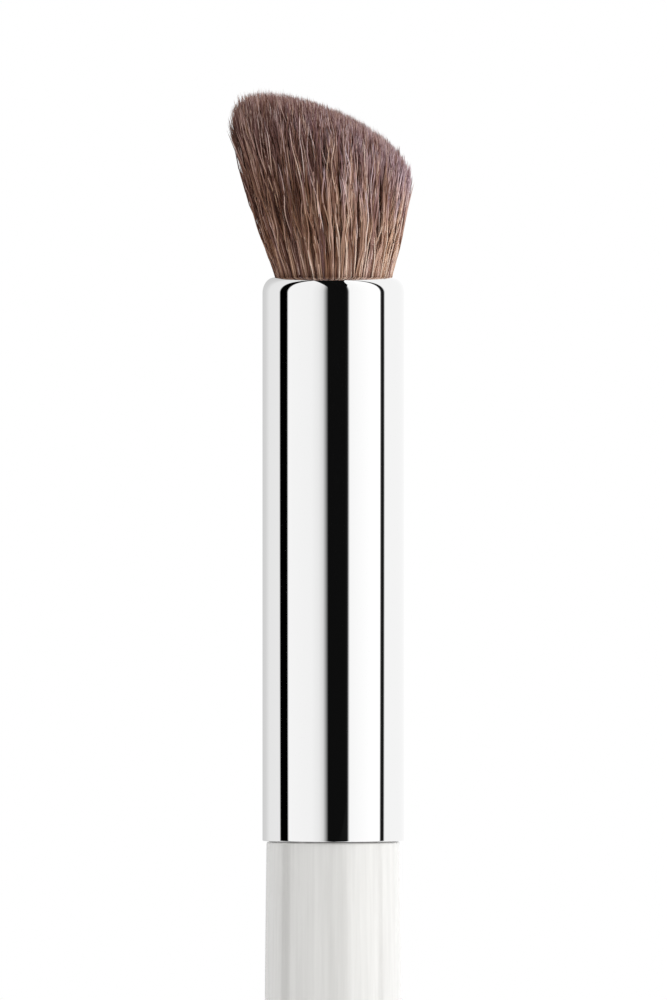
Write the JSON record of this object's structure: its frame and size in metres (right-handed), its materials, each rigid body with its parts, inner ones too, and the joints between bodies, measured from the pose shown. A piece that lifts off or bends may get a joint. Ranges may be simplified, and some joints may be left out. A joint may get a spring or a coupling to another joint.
{
  "type": "eyeshadow brush",
  "caption": "Eyeshadow brush with a slanted, domed natural-hair head, a plain chromed tube ferrule with a rolled-in mouth and a slim lacquered wooden handle.",
  "frame": {"origin": "middle of the flat butt of the handle, on the axis of the handle and the ferrule", "axes": "+Z along the brush from the butt to the hair; the slanted cut of the hair is tall at -X and low at +X; +Y is the side away from the picture's camera"},
  "size_m": [0.0116, 0.01, 0.14],
  "materials": {
    "hair": "soft natural hair",
    "packed_roots": "resin-soaked hair",
    "thread": "twisted polyester",
    "resin": "cast",
    "chromed_brass": "polished",
    "wood_glue": "set glue",
    "lacquered_wood": "white gloss lacquer"
  },
  "bodies": {
    "root": {"hair_head": "hair", "root_knot": "packed_roots", "knot_binding": "thread", "root_resin": "resin", "ferrule": "chromed_brass", "tenon_glue": "wood_glue", "handle": "lacquered_wood"}
  },
  "joints": []
}
